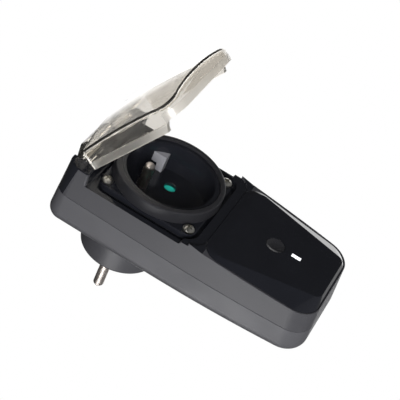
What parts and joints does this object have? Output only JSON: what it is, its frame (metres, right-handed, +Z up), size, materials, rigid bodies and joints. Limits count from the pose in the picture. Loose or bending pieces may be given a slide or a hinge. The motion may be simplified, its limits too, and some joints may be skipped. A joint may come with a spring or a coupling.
{
  "type": "smart plug",
  "caption": "Outdoor smart plug adaptor: rear two-pole plug, round front socket with safety shutter under a hinged clear lid, and a control panel with push button and status light.",
  "frame": {"origin": "on the plug's axis, at the flat face its two pins stand on", "axes": "+Y into the wall along the plug pins, -Y towards the user, +Z up towards the lid's hinge, +X to the user's right"},
  "size_m": [0.0586, 0.1245, 0.1242],
  "materials": {
    "shell_front": "satin moulded thermoplastic",
    "shell_rear": "satin moulded thermoplastic",
    "panel": "polished moulded thermoplastic",
    "button": "polished moulded thermoplastic",
    "light_pipe": "milky clear plastic",
    "insert": "semi-gloss heat-resistant plastic",
    "collar": "fine matte plastic",
    "elastomer": "soft silicone rubber",
    "nickel": "nickel plating",
    "brass": "bare stamped brass",
    "steel": "zinc-plated steel",
    "teal": "coloured moulded plastic",
    "plug_black": "satin heat-resistant plastic",
    "clear_lid": "clear polycarbonate",
    "board": "solder-masked glass-fibre laminate",
    "component_blue": "moulded component case",
    "component_dark": "moulded component case",
    "ferrite": "sintered ferrite with yellow tape",
    "ceramic": "ceramic tube",
    "tin": "tinned steel can"
  },
  "bodies": {
    "housing": {"front_housing": "shell_front", "rear_housing": "shell_rear", "housing_gasket": "elastomer", "housing_screws": "steel", "control_panel": "panel", "button_boot": "elastomer", "led_window": "light_pipe", "socket_insert": "insert", "socket_collar": "collar", "flange_seal": "elastomer", "flange_screws": "steel", "earth_pin": "nickel", "shutter_carrier": "insert", "shutter_spring": "steel", "live_contact": "brass", "neutral_contact": "brass", "live_busbar": "brass", "neutral_busbar": "brass", "live_pin": "nickel", "neutral_pin": "nickel", "plug_base": "plug_black", "plug_earth_clips": "steel", "plug_earth_sleeve": "nickel", "earth_busbar": "brass", "circuit_board": "board", "board_screws": "steel", "relay": "component_dark", "supply_capacitor": "component_dark", "supply_transformer": "ferrite", "supply_choke": "ferrite", "varistor": "component_blue", "fuse_link": "ceramic", "radio_module": "tin", "tact_switch": "component_dark", "status_led": "light_pipe", "hinge_pin": "steel", "hinge_friction_washers": "elastomer"},
    "lid": {"lid": "clear_lid"},
    "button": {"push_button": "button"},
    "shutter": {"safety_shutter": "teal"}
  },
  "joints": [
    {"name": "lid_hinge", "type": "hinge", "parent": "housing", "child": "lid", "pos_m": [0, -0.0489, 0.0242], "axis": [-1, 0, 0], "range_deg": [-58.5, 36.5]},
    {"name": "button_press", "type": "slide", "parent": "housing", "child": "button", "axis": [0, 1, 0], "range_m": [0, 0.0008], "stiffness_N_per_m": 1500, "springref_m": -0.0008},
    {"name": "shutter_slide", "type": "slide", "parent": "housing", "child": "shutter", "axis": [0, 0, -1], "range_m": [0, 0.0066], "stiffness_N_per_m": 120, "springref_m": -0.002, "deforming": ["shutter_spring"]}
  ]
}
